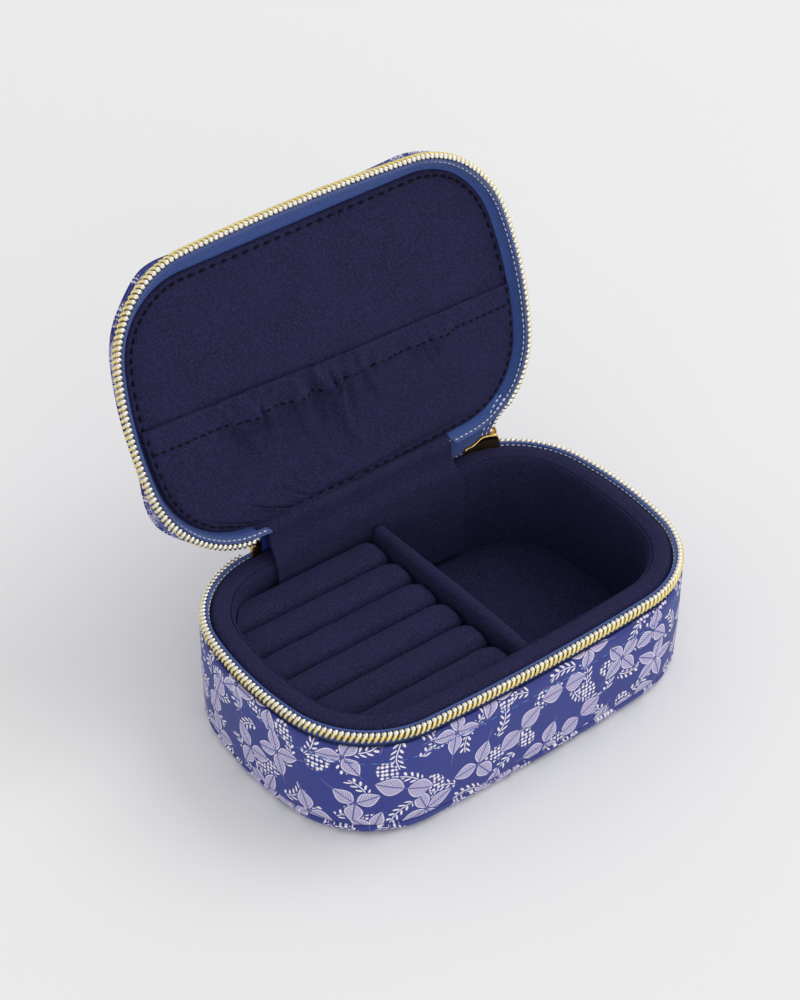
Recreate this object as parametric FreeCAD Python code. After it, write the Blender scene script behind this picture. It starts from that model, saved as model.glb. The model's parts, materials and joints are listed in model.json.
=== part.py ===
"""Zipped leather jewellery case, standing open.

Millimetres, +Z up, +X along the long side, +Y to the hinge at the back.  The origin is the middle of
the underside, on the surface that the case stands on.  Every piece of the lid is modelled with the lid
shut and then swung open about the hinge line.
"""
import FreeCAD, Part
import math
import os

Vector = FreeCAD.Vector

# Outline of the leather shell, seen from above
case_length = 121.6
case_depth = 79.0
corner_radius = 26.8
long_side_bow = 3.2
short_side_bow = 8.2

# Heights, from the underside to the line where the two zip halves meet, and above that line
zip_height = 33.5
lid_rise = 14.0
base_band_drop = 4.5
lid_band_rise = 4.5
base_seam_height = 3.4
lid_seam_drop = 4.2
base_edge_radius = 3.0
lid_edge_radius = 4.0

# Layers of the wall, from the outside in
leather = 1.6
glue_line = 0.1
tape = 0.6
hinge_leather = 0.8
board = 1.0
tray_gap = 0.25
tray_wall_thickness = 4.2
tray_rim_drop = 0.6
tray_rim_radius = 2.0
tray_floor_thickness = 1.8
base_board_drop = 9.0
foam = 1.4

# Hinge
hinge_rise = 7.0
open_angle = 110.6
hinge_half_width = 29.5
hinge_bend_radius = 1.4
hinge_strip_drop = 14.0
hinge_notch_margin = 1.5
hinge_notch_rise = 2.4
gusset_overlap = 0.5
gusset = 1.0
gusset_gap = 0.3
gusset_foot_height = 7.0
gusset_bend_drop = 1.8
gusset_bend_radius = 10.0
gusset_lid_gap = 0.8

# Zip
tooth_pitch = 1.45
tooth_width = 0.85
tooth_depth = 0.5
coil = 1.6
coil_height = 2.6
coil_gap = 0.5
tape_below_coil = 10.0
zip_left_margin = 3.5
zip_right_margin = 1.5
lid_zip_margin = 1.1
end_stop_width = 2.4
end_stop_wall = 0.6
end_stop_height = 4.0
end_stop_gap = 0.3

# Slider and pull
slider_angle = 17.0
slider_half_angle = 12.5
slider_plate = 1.2
slider_gap = 0.3
slider_lip = 0.35
slider_web = 0.5
slider_web_angle = 8.0
crown_bar = 1.1
crown_length = 6.4
crown_post = 1.0
crown_rise = 1.0
pull_eye_radius = 1.9
pull_eye_clearance = 0.2
pull_eye_length = 3.6
pull_eye_gap = 0.4
pull_length = 22.0
pull_width = 5.0
pull_neck = 2.6
pull_thickness = 1.2
pull_corner_radius = 1.5

# Tray fittings
fit_gap = 0.3
divider_thickness = 3.6
divider_centre = 0.8
divider_drop = 2.0
divider_top_radius = 1.7
roll_count = 6
roll_gap = 0.2
roll_top_drop = 3.9
roll_height = 9.5
roll_end_radius = 3.0

# Lid lining
panel_recess = 5.0
panel_thickness = 2.2
pocket_thickness = 0.8
pocket_top_edge = 1.8
pocket_hem = 6.0
pocket_hem_thickness = 1.6
elastic_width = 4.0
elastic = 0.5
elastic_slack = 0.05

# How near two places count as one
same_place = 1e-6

# Worked-out sizes
half_length = case_length / 2
half_depth = case_depth / 2
long_side_radius = half_length ** 2 / (2 * long_side_bow)
short_side_radius = half_depth ** 2 / (2 * short_side_bow)
lid_top = zip_height + lid_rise
hinge_bow = hinge_half_width ** 2 / (2 * long_side_radius)
gusset_half_width = hinge_half_width + gusset_overlap
gusset_bow = gusset_half_width ** 2 / (2 * long_side_radius)
tape_inset = leather + glue_line
hinge_inset = tape_inset + hinge_bow + hinge_leather / 2
board_inset = hinge_inset + hinge_leather / 2 + glue_line
tray_inset = board_inset + board + tray_gap
inner_inset = tray_inset + tray_wall_thickness
tray_top = zip_height - tray_rim_drop
tray_floor_bottom = leather + glue_line + board + glue_line
tray_floor_top = tray_floor_bottom + tray_floor_thickness
hinge_y = half_depth - hinge_inset
hinge_z = zip_height + hinge_rise
gusset_y = half_depth - inner_inset - gusset_bow - gusset_gap - gusset / 2
zip_left_end = -hinge_half_width - zip_left_margin
base_zip_right_end = hinge_half_width + zip_right_margin
coil_top = zip_height - coil_gap
coil_bottom = coil_top - coil_height
panel_bottom = zip_height + panel_recess
roll_top = tray_top - roll_top_drop
roll_bottom = roll_top - roll_height


def corner_centre():
    """Centre of the corner arc that touches a long side and a short side from inside."""
    long_centre_y = half_depth - long_side_radius
    short_centre_x = half_length - short_side_radius
    from_long = long_side_radius - corner_radius
    from_short = short_side_radius - corner_radius
    apart = math.hypot(short_centre_x, long_centre_y)
    along = (from_long ** 2 - from_short ** 2 + apart ** 2) / (2 * apart)
    across = math.sqrt(from_long ** 2 - along ** 2)
    step_x = short_centre_x / apart
    step_y = -long_centre_y / apart
    return step_x * along + step_y * across, long_centre_y + step_y * along - step_x * across


corner_x, corner_y = corner_centre()
long_turn = math.atan2(corner_x, corner_y + long_side_radius - half_depth)
short_turn = math.atan2(corner_y, corner_x + short_side_radius - half_length)


def outline_arcs():
    """The outline as arcs (centre x, centre y, radius, from, to), clockwise from the back's middle.

    Angles are compass angles: 0 looks along +Y and a quarter turn looks along +X.
    """
    quarter = math.pi / 2
    long_y = half_depth - long_side_radius
    short_x = half_length - short_side_radius
    return [
        (0, long_y, long_side_radius, 0, long_turn),
        (corner_x, corner_y, corner_radius, long_turn, quarter - short_turn),
        (short_x, 0, short_side_radius, quarter - short_turn, quarter + short_turn),
        (corner_x, -corner_y, corner_radius, quarter + short_turn, 2 * quarter - long_turn),
        (0, -long_y, long_side_radius, 2 * quarter - long_turn, 2 * quarter + long_turn),
        (-corner_x, -corner_y, corner_radius, 2 * quarter + long_turn, 3 * quarter - short_turn),
        (-short_x, 0, short_side_radius, 3 * quarter - short_turn, 3 * quarter + short_turn),
        (-corner_x, corner_y, corner_radius, 3 * quarter + short_turn, 4 * quarter - long_turn),
        (0, long_y, long_side_radius, 4 * quarter - long_turn, 4 * quarter),
    ]


def arc_point(arc, angle, inset, z=0.0):
    """A point of the outline, moved in by the inset."""
    radius = arc[2] - inset
    return Vector(arc[0] + radius * math.sin(angle), arc[1] + radius * math.cos(angle), z)


def outline_face(inset, z):
    """Flat face inside the outline."""
    edges = []
    for arc in outline_arcs():
        points = [arc_point(arc, angle, inset, z) for angle in (arc[3], (arc[3] + arc[4]) / 2, arc[4])]
        edges.append(Part.Arc(*points).toShape())
    return Part.Face(Part.Wire(edges))


def plate(inset, bottom, top):
    return outline_face(inset, bottom).extrude(Vector(0, 0, top - bottom))


def ring(inset, thickness, bottom, top):
    return plate(inset, bottom, top).cut(plate(inset + thickness, bottom, top))


def box(x0, x1, y0, y1, z0, z1):
    return Part.makeBox(x1 - x0, y1 - y0, z1 - z0, Vector(x0, y0, z0))


def back_gap(left, right, bottom, top):
    """The stretch of the back wall between two places, as a solid to cut away."""
    return box(left, right, 0, case_depth, bottom, top)


def flat_edges(shape, z):
    """Edges that lie in one level."""
    level = [edge for edge in shape.Edges if edge.BoundBox.ZLength < same_place]
    return [edge for edge in level if abs(edge.BoundBox.ZMin - z) < same_place]


def edge_dish(depth, radius, rise):
    """Leather end panel: a flat sheet whose rounded edge turns up to a seam."""
    outside = plate(depth, 0, rise)
    return outside.makeFillet(radius, flat_edges(outside, 0))


def end_panel(radius, rise):
    outer = edge_dish(0, radius, rise)
    inner = edge_dish(leather, radius - leather, rise)
    inner.translate(Vector(0, 0, leather))
    return outer.cut(inner)


def bent_strip(start, corner, end, radius, thickness, half_width):
    """Sheet along X whose section runs start, round the corner, to end; points are (y, z)."""
    first = Vector(0, corner[0] - start[0], corner[1] - start[1]).normalize()
    second = Vector(0, end[0] - corner[0], end[1] - corner[1]).normalize()
    turn = first.getAngle(second)
    reach = radius * math.tan(turn / 2)
    side = math.copysign(1, first.cross(second).x)
    bend = Vector(0, *corner)
    to_centre = (second - first).normalize()
    centre = bend + to_centre * (radius / math.cos(turn / 2))

    def edge_points(offset):
        """Start, bend in, bend middle, bend out and end, shifted towards the bend's centre."""
        normal_one = Vector(0, -first.z, first.y) * side * offset
        normal_two = Vector(0, -second.z, second.y) * side * offset
        return [
            Vector(0, *start) + normal_one,
            bend - first * reach + normal_one,
            centre - to_centre * (radius - offset),
            bend + second * reach + normal_two,
            Vector(0, *end) + normal_two,
        ]

    inner = edge_points(thickness / 2)
    outer = edge_points(-thickness / 2)
    edges = [
        Part.LineSegment(inner[0], inner[1]).toShape(),
        Part.Arc(inner[1], inner[2], inner[3]).toShape(),
        Part.LineSegment(inner[3], inner[4]).toShape(),
        Part.LineSegment(inner[4], outer[4]).toShape(),
        Part.LineSegment(outer[4], outer[3]).toShape(),
        Part.Arc(outer[3], outer[2], outer[1]).toShape(),
        Part.LineSegment(outer[1], outer[0]).toShape(),
        Part.LineSegment(outer[0], inner[0]).toShape(),
    ]
    sheet = Part.Face(Part.Wire(edges)).extrude(Vector(2 * half_width, 0, 0))
    sheet.translate(Vector(-half_width, 0, 0))
    return sheet


def swing_open(shape):
    """Turn a piece of the shut lid to the open lid."""
    shape.rotate(Vector(0, hinge_y, hinge_z), Vector(1, 0, 0), -open_angle)
    return shape


def swung_point(y, z):
    """Where a point of the shut lid is when the lid is open, as (y, z)."""
    turn = math.radians(open_angle)
    back = y - hinge_y
    up = z - hinge_z
    return (
        hinge_y + back * math.cos(turn) + up * math.sin(turn),
        hinge_z - back * math.sin(turn) + up * math.cos(turn),
    )


def save(name, shape):
    shape.exportStep("parts/" + name + ".step")


# Leather shell and its stiffeners

def base_bottom_panel():
    return end_panel(base_edge_radius, base_seam_height)


def base_side_band():
    return ring(0, leather, base_seam_height, zip_height - base_band_drop)


def base_wall_board():
    return ring(board_inset, board, tray_floor_bottom, zip_height - base_board_drop)


def base_floor_board():
    return plate(board_inset, leather + glue_line, leather + glue_line + board)


def lid_top_panel():
    panel = end_panel(lid_edge_radius, lid_seam_drop)
    panel.rotate(Vector(0, 0, 0), Vector(1, 0, 0), 180)
    panel.translate(Vector(0, 0, lid_top))
    return swing_open(panel)


def hinge_notch(top):
    """Room for the folded hinge strip in the lid's back wall, up to a level."""
    reach = hinge_half_width + hinge_notch_margin
    return back_gap(-reach, reach, zip_height, top)


def lid_side_band():
    band = ring(0, leather, zip_height + lid_band_rise, lid_top - lid_seam_drop)
    return swing_open(band.cut(hinge_notch(hinge_z + hinge_notch_rise)))


def lid_foam_pad():
    top = lid_top - leather - glue_line
    pad = plate(board_inset, top - foam, top)
    cap = plate(board_inset, top - lid_edge_radius - foam, top)
    return swing_open(pad.common(cap.makeFillet(lid_edge_radius - leather, flat_edges(cap, top))))


def lid_top_board():
    top = lid_top - leather - foam - 2 * glue_line
    return swing_open(plate(board_inset, top - board, top))


def lid_wall_board():
    top = lid_top - leather - foam - board - 3 * glue_line
    return swing_open(ring(board_inset, board, panel_bottom, top).cut(hinge_notch(top)))


# Tray

def tray_wall():
    wall = ring(tray_inset, tray_wall_thickness, tray_floor_bottom, tray_top)
    return wall.makeFillet(tray_rim_radius, flat_edges(wall, tray_top))


def tray_floor():
    return plate(inner_inset + glue_line, tray_floor_bottom, tray_floor_top)


def fitting_back():
    """How far back a tray fitting reaches: just short of the suede hinge."""
    return gusset_y - gusset / 2 - fit_gap


def fitting_front():
    return -(half_depth - inner_inset - fit_gap)


def divider():
    half = divider_thickness / 2
    top = tray_top - divider_drop
    left = divider_centre - half
    right = divider_centre + half
    wall = box(left, right, fitting_front(), fitting_back(), tray_floor_top, top)
    long_edges = [edge for edge in flat_edges(wall, top) if edge.BoundBox.YLength > divider_thickness]
    return wall.makeFillet(divider_top_radius, long_edges)


def ring_side(bottom, top):
    """The space to the left of the divider."""
    right = divider_centre - divider_thickness / 2 - fit_gap
    space = box(-half_length, right, fitting_front(), fitting_back(), bottom, top)
    return space.common(plate(inner_inset + fit_gap, bottom, top))


def ring_pad_block():
    return ring_side(tray_floor_top, roll_bottom)


def ring_roll(index):
    """Foam roll with a round crown and a rounded end beside the divider."""
    pitch = (fitting_back() - fitting_front()) / roll_count
    middle = fitting_front() + pitch * (index + 0.5)
    radius = (pitch - roll_gap) / 2
    right = divider_centre - divider_thickness / 2 - fit_gap
    shoulder = roll_top - radius
    front = Vector(right, middle - radius, roll_bottom)
    back = Vector(right, middle + radius, roll_bottom)
    front_shoulder = Vector(right, middle - radius, shoulder)
    back_shoulder = Vector(right, middle + radius, shoulder)
    crown = Vector(right, middle, roll_top)
    section = Part.Wire([
        Part.LineSegment(front, front_shoulder).toShape(),
        Part.Arc(front_shoulder, crown, back_shoulder).toShape(),
        Part.LineSegment(back_shoulder, back).toShape(),
        Part.LineSegment(back, front).toShape(),
    ])
    roll = Part.Face(section).extrude(Vector(-half_length - right, 0, 0))
    end_edges = [edge for edge in roll.Edges if edge.BoundBox.XMin > right - same_place]
    arch = [edge for edge in end_edges if edge.BoundBox.ZMax > roll_bottom + same_place]
    roll = roll.makeFillet(roll_end_radius, arch)
    return roll.common(ring_side(roll_bottom, roll_top))


# Hinge

def hinge_strip():
    """Outer hinge leather, from inside the base's back wall over the fold to inside the lid's."""
    foot = (hinge_y, zip_height - hinge_strip_drop)
    end = swung_point(hinge_y, lid_top - lid_edge_radius)
    return bent_strip(foot, (hinge_y, hinge_z), end, hinge_bend_radius, hinge_leather, hinge_half_width)


def hinge_gusset():
    """Suede hinge lining, from the tray's back wall up to the lower edge of the lid's lining."""
    foot = (gusset_y, gusset_foot_height)
    bend = (gusset_y, zip_height - gusset_bend_drop)
    panel_edge = swung_point(half_depth - tray_inset, panel_bottom)
    end = (panel_edge[0] - gusset_lid_gap, panel_edge[1] - gusset_lid_gap)
    return bent_strip(foot, bend, end, gusset_bend_radius, gusset, gusset_half_width)


# Zip

def zip_tape(bottom, top, left, right):
    band = ring(tape_inset, tape, bottom, top)
    return band.cut(back_gap(left, right, bottom, top))


def track_places(left, right):
    """Each tooth's edges on the outline between two places of the back, as (arc, angle) pairs."""
    lengths = [(arc[2] - coil / 2) * (arc[4] - arc[3]) for arc in outline_arcs()]

    def place(distance):
        for arc, length in zip(outline_arcs(), lengths):
            if distance <= length:
                return arc, arc[3] + distance / (arc[2] - coil / 2)
            distance -= length
        return None

    places = []
    distance = 0.0
    while distance + tooth_width < sum(lengths):
        edges = (place(distance), place(distance + tooth_width))
        corners = [arc_point(*edge, 0) for edge in edges]
        if all(corner.y < 0 or corner.x > right or corner.x < left for corner in corners):
            places.append(edges)
        distance += tooth_pitch
    return places


def zip_coil(bottom, left, right):
    """One half of the coil: a strip whose outer edge is notched into teeth."""
    outer = []
    inner = []
    for start, finish in track_places(left, right):
        outer.append(arc_point(*start, tooth_depth, bottom))
        outer.append(arc_point(*start, 0, bottom))
        outer.append(arc_point(*finish, 0, bottom))
        outer.append(arc_point(*finish, tooth_depth, bottom))
        inner.append(arc_point(*start, coil, bottom))
        inner.append(arc_point(*finish, coil, bottom))
    points = outer + inner[::-1]
    strip = Part.Face(Part.makePolygon(points + points[:1]))
    return strip.extrude(Vector(0, 0, coil_height))


def base_zip_tape():
    return zip_tape(coil_bottom - tape_below_coil, coil_top, zip_left_end, base_zip_right_end)


def base_zip_coil():
    return zip_coil(coil_bottom, zip_left_end - end_stop_width, base_zip_right_end)


def lid_zip_tape():
    bottom = zip_height + coil_gap
    top = lid_top - leather - foam - board - 3 * glue_line
    return swing_open(zip_tape(bottom, top, zip_left_end, lid_zip_right_end))


def lid_zip_coil():
    return swing_open(zip_coil(zip_height + coil_gap, zip_left_end, lid_zip_right_end))


def zip_end_stop():
    """Folded brass clip that closes the left end of the zip, over the end of the base's tape."""
    slot_end = zip_left_end + end_stop_gap
    right = slot_end + end_stop_wall
    left = zip_left_end - end_stop_width + end_stop_gap
    bottom = coil_top - end_stop_height
    wrap = end_stop_gap + end_stop_wall
    clip = ring(tape_inset - wrap, tape + 2 * wrap, bottom, coil_top)
    clip = clip.common(back_gap(left, right, bottom, coil_top))
    slot = ring(tape_inset - end_stop_gap, tape + 2 * end_stop_gap, bottom, coil_top)
    return clip.cut(slot.common(back_gap(left, slot_end, bottom, coil_top)))


# Slider and pull, made with the track's centre at the origin and the slider's middle on +Y

coil_outside = corner_radius
tape_inside = corner_radius - tape_inset - tape
slider_top = coil_gap + coil_height + slider_gap / 2 + slider_lip
outer_plate_face = coil_outside + slider_gap + slider_plate
crown_y = outer_plate_face + pull_eye_gap + pull_eye_radius
crown_z = zip_height + crown_rise
slider_end = math.radians(slider_angle + slider_half_angle)
lid_zip_right_end = corner_x + outer_plate_face * math.sin(slider_end) + lid_zip_margin


def sector(inner, outer, bottom, top, start, end):
    """Part of a turned ring between two angles from +Y, clockwise from above."""
    section = Part.makePolygon([
        Vector(0, inner, bottom), Vector(0, outer, bottom), Vector(0, outer, top), Vector(0, inner, top),
        Vector(0, inner, bottom),
    ])
    solid = Part.Face(section).revolve(Vector(0, 0, 0), Vector(0, 0, 1), end - start)
    solid.rotate(Vector(0, 0, 0), Vector(0, 0, 1), -end)
    return solid


def on_track(shape):
    """Put a piece made about the origin at the slider's place on the back right corner."""
    shape.rotate(Vector(0, 0, 0), Vector(0, 0, 1), -slider_angle)
    shape.translate(Vector(corner_x, corner_y, 0))
    return shape


def zip_slider():
    span = slider_half_angle
    bottom = zip_height - slider_top
    top = zip_height + slider_top
    outer_inside = coil_outside + slider_gap
    inner_outside = tape_inside - slider_gap
    lip_inside = coil_outside - coil + slider_gap
    outer_plate = sector(outer_inside, outer_plate_face, bottom, top, -span, span)
    inner_plate = sector(inner_outside - slider_plate, inner_outside, bottom, top, -span, span)
    lower_lip = sector(lip_inside, outer_inside, bottom, bottom + slider_lip, -span, span)
    upper_lip = sector(lip_inside, outer_inside, top - slider_lip, top, -span, span)
    web_bottom = zip_height - slider_web / 2
    web_top = web_bottom + slider_web
    web = sector(inner_outside, outer_inside, web_bottom, web_top, span - slider_web_angle, span)
    half = crown_length / 2
    bar_bottom = crown_z - crown_bar / 2
    bar_top = crown_z + crown_bar / 2
    bar = box(-half, half, crown_y - crown_bar / 2, crown_y + crown_bar / 2, bar_bottom, bar_top)
    root = outer_plate_face - slider_plate / 2
    posts = []
    for left in (-half, half - crown_post):
        posts.append(box(left, left + crown_post, root, crown_y, bar_bottom, bar_top))
    solid = outer_plate.multiFuse([inner_plate, lower_lip, upper_lip, web, bar] + posts)
    return on_track(solid.removeSplitter())


def zip_pull():
    """Hanging pull: an eye on the crown's bar and a flat tab below it."""
    along = Vector(1, 0, 0)
    eye_start = Vector(-pull_eye_length / 2, crown_y, crown_z)
    eye = Part.makeCylinder(pull_eye_radius, pull_eye_length, eye_start, along)
    hole_radius = crown_bar / math.sqrt(2) + pull_eye_clearance
    hole = Part.makeCylinder(hole_radius, pull_eye_length, eye_start, along)
    face = crown_y - pull_thickness / 2
    tab_top = crown_z - pull_neck
    tab = box(-pull_width / 2, pull_width / 2, face, face + pull_thickness, crown_z - pull_length, tab_top)
    corners = [edge for edge in tab.Edges if edge.BoundBox.YLength > pull_thickness / 2]
    tab = tab.makeFillet(pull_corner_radius, corners)
    neck = box(-pull_eye_length / 2, pull_eye_length / 2, face, face + pull_thickness,
               tab_top - pull_corner_radius, crown_z)
    return on_track(eye.fuse(neck).fuse(tab).cut(hole).removeSplitter())


# Lid lining

def lid_inner_panel():
    return swing_open(plate(tray_inset, panel_bottom, panel_bottom + panel_thickness))


def pocket_sides(inset, front, back, bottom, top):
    """A flat piece on the lid's lining, cut to the lining's outline."""
    return plate(inset, bottom, top).common(box(-half_length, half_length, front, back, bottom, top))


def lid_pocket():
    """Gathered pocket over the half of the lining nearer the hinge, with a cased hem."""
    top = panel_bottom - glue_line
    hem_back = pocket_top_edge + pocket_hem
    sheet = pocket_sides(tray_inset, hem_back, half_depth, top - pocket_thickness, top)
    hem = pocket_sides(tray_inset, pocket_top_edge, hem_back, top - pocket_hem_thickness, top)
    return swing_open(hem.cut(elastic_space(elastic_slack)).fuse(sheet).removeSplitter())


def elastic_space(slack):
    """The elastic's place in the pocket's hem, or the casing round it with some slack."""
    middle_y = pocket_top_edge + pocket_hem / 2
    middle_z = panel_bottom - glue_line - pocket_hem_thickness / 2
    reach = elastic_width / 2 + slack
    rise = elastic / 2 + slack
    return pocket_sides(tray_inset, middle_y - reach, middle_y + reach, middle_z - rise, middle_z + rise)


def lid_pocket_elastic():
    return swing_open(elastic_space(0))


os.makedirs("parts", exist_ok=True)
for piece in (base_bottom_panel, base_side_band, base_wall_board, base_floor_board,
              base_zip_tape, base_zip_coil, zip_end_stop,
              tray_wall, tray_floor, divider, ring_pad_block, hinge_strip, hinge_gusset,
              lid_top_panel, lid_side_band, lid_foam_pad, lid_top_board, lid_wall_board,
              lid_zip_tape, lid_zip_coil, lid_inner_panel, lid_pocket, lid_pocket_elastic,
              zip_slider, zip_pull):
    save(piece.__name__, piece())
for index in range(roll_count):
    save("ring_roll_" + str(index + 1), ring_roll(index))
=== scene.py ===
"""Looks of the zipped leather jewellery case, built round its fixed frame.

Shapes are worked out in millimetres, with the lid shut, and put in place in metres at the end.
"""
import json
import math
import random
import bmesh
import bpy
from mathutils import Matrix, Vector
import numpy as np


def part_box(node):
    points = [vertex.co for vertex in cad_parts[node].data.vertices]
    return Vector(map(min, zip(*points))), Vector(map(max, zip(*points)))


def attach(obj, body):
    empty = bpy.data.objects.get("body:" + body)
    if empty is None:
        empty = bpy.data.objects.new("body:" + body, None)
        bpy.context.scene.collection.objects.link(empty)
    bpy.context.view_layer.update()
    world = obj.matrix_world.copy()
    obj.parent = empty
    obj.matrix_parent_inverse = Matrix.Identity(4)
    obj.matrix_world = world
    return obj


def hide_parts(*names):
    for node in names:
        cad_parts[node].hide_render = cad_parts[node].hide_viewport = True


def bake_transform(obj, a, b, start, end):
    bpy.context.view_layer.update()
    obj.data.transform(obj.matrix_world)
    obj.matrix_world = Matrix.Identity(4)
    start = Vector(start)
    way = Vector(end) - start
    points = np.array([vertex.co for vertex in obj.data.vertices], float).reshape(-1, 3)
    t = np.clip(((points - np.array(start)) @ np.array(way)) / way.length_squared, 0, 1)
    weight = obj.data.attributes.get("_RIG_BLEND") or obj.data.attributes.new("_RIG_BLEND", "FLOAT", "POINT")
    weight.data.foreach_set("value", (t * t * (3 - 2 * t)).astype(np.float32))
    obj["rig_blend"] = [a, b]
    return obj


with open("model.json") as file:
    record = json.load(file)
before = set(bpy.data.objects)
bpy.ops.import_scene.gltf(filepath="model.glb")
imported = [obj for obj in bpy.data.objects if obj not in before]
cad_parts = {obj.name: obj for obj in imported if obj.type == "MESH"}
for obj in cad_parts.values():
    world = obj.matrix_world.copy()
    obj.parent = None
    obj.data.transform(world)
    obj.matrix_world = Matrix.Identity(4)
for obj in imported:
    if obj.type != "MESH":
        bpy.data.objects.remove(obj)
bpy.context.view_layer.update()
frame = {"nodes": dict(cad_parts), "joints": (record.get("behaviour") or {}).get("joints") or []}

MM = 0.001
joints = {joint["name"]: joint for joint in frame["joints"]}

# Outline of the leather shell, as the frame has it
case_length = 121.6
case_depth = 79.0
corner_radius = 26.8
long_side_bow = 3.2
short_side_bow = 8.2

# Heights and layers
zip_height = 33.5
lid_top = 47.5
base_band_top = 29.0
base_seam = 3.4
base_edge = 3.0
lid_band_bottom = 38.0
lid_seam = 43.3
lid_edge = 4.0
leather = 1.4
panel_leather = 1.2
gusset_cloth = 0.8
strip_leather = 0.7
tape_inset = 1.7
tape = 0.6
tray_inset = 4.6
tray_foot = 3.2
inner_inset = 8.8
tray_top = 32.9
tray_floor_top = 4.6
panel_level = 37.3
panel_thickness = 2.2
hinge_half_width = 29.5
strip_half_width = hinge_half_width + 0.5
gusset_half_width = 30.0
lid_gap_half = 31.0
pocket_edge = 1.8
pocket_cloth = 0.45
pocket_fullness = 1.1
lid_draw_front = 4.2
lid_draw_left = 4.4
panel_inset = 3.7
panel_draw_front = 5.6
panel_draw_left = 0.6

# Zip
tooth_pitch = 1.45
coil_wire = 0.43
coil_low = 2.35
coil_high = 0.55
head_along = 0.66
head_out = 0.8
head_up = 0.64
zip_left = -33.2
zip_right = 31.0
lid_zip_right = 48.0
stop_length = 2.8
stop_depth = 1.8
stop_height = 4.0
stop_inset = 2.4

# Sewing
topstitch_pitch = 3.2
topstitch_length = 2.4
topstitch_drop = 4.6
topstitch_thread = 0.34
panel_stitch_pitch = 3.2
panel_stitch_inset = 1.7
panel_stitch_length = 1.9
panel_thread = 0.7
casing_stitch_length = 1.7
casing_thread = 0.6
tape_stitch_pitch = 1.6
tape_stitch_length = 1.15
tape_thread = 0.42
tail_stitch_length = 1.1
tape_rows = (1.35, 2.75)

half_length = case_length / 2
half_depth = case_depth / 2
long_radius = half_length ** 2 / (2 * long_side_bow)
short_radius = half_depth ** 2 / (2 * short_side_bow)
hinge_y = joints["lid_hinge"]["pos_m"][1] / MM
hinge_z = joints["lid_hinge"]["pos_m"][2] / MM
open_angle = -math.radians(joints["lid_hinge"]["range_deg"][0])
corner_x = joints["slider_run"]["pos_m"][0] / MM
corner_y = joints["slider_run"]["pos_m"][1] / MM


# Outline

long_turn = math.atan2(corner_x, corner_y + long_radius - half_depth)
short_turn = math.atan2(corner_y, corner_x + short_radius - half_length)


def outline_arcs():
    """The outline as arcs (centre x, centre y, radius, from, to), clockwise from the back's middle."""
    quarter = math.pi / 2
    long_y = half_depth - long_radius
    short_x = half_length - short_radius
    return [
        (0, long_y, long_radius, 0, long_turn),
        (corner_x, corner_y, corner_radius, long_turn, quarter - short_turn),
        (short_x, 0, short_radius, quarter - short_turn, quarter + short_turn),
        (corner_x, -corner_y, corner_radius, quarter + short_turn, 2 * quarter - long_turn),
        (0, -long_y, long_radius, 2 * quarter - long_turn, 2 * quarter + long_turn),
        (-corner_x, -corner_y, corner_radius, 2 * quarter + long_turn, 3 * quarter - short_turn),
        (-short_x, 0, short_radius, 3 * quarter - short_turn, 3 * quarter + short_turn),
        (-corner_x, corner_y, corner_radius, 3 * quarter + short_turn, 4 * quarter - long_turn),
        (0, long_y, long_radius, 4 * quarter - long_turn, 4 * quarter),
    ]


arcs = outline_arcs()
track_total = sum(arc[2] * (arc[4] - arc[3]) for arc in arcs)


def track_place(distance):
    """Arc and compass angle at a distance along the outline."""
    for arc in arcs:
        length = arc[2] * (arc[4] - arc[3])
        if distance <= length:
            return arc, arc[3] + distance / arc[2]
        distance -= length
    return arcs[-1], arcs[-1][4]


def track_point(distance, inset, z):
    """A point of the wall, with the wall's outward direction and its direction of travel."""
    arc, angle = track_place(distance)
    out = Vector((math.sin(angle), math.cos(angle), 0))
    along = Vector((math.cos(angle), -math.sin(angle), 0))
    point = Vector((arc[0], arc[1], z)) + out * (arc[2] - inset)
    return point, out, along


def track_distance(x, y):
    """Distance along the outline of the place nearest to a point."""
    best = math.inf
    found = 0.0
    start = 0.0
    for centre_x, centre_y, radius, first, last in arcs:
        angle = math.atan2(x - centre_x, y - centre_y) % (2 * math.pi)
        angle = min(max(angle, first), last)
        away = math.hypot(x - centre_x - radius * math.sin(angle), y - centre_y - radius * math.cos(angle))
        if away < best:
            best = away
            found = start + (angle - first) * radius
        start += (last - first) * radius
    return found


def back_place(x):
    """Distance along the outline of a place on the back wall."""
    reach = abs(x)
    if reach <= long_radius * math.sin(long_turn):
        distance = long_radius * math.asin(reach / long_radius)
    else:
        turn = math.asin((reach - corner_x) / corner_radius)
        distance = long_radius * long_turn + corner_radius * (turn - long_turn)
    return distance if x >= 0 else track_total - distance


def wall_x(y, inset):
    """How far right the wall stands at a depth."""
    radius = short_radius - inset
    limit = radius * math.sin(short_turn)
    if abs(y) <= limit:
        return half_length - short_radius + math.sqrt(radius ** 2 - y ** 2)
    corner = corner_radius - inset
    rise = min(abs(y) - corner_y, corner)
    return corner_x + math.sqrt(corner ** 2 - rise ** 2)


# Mesh helpers

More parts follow.
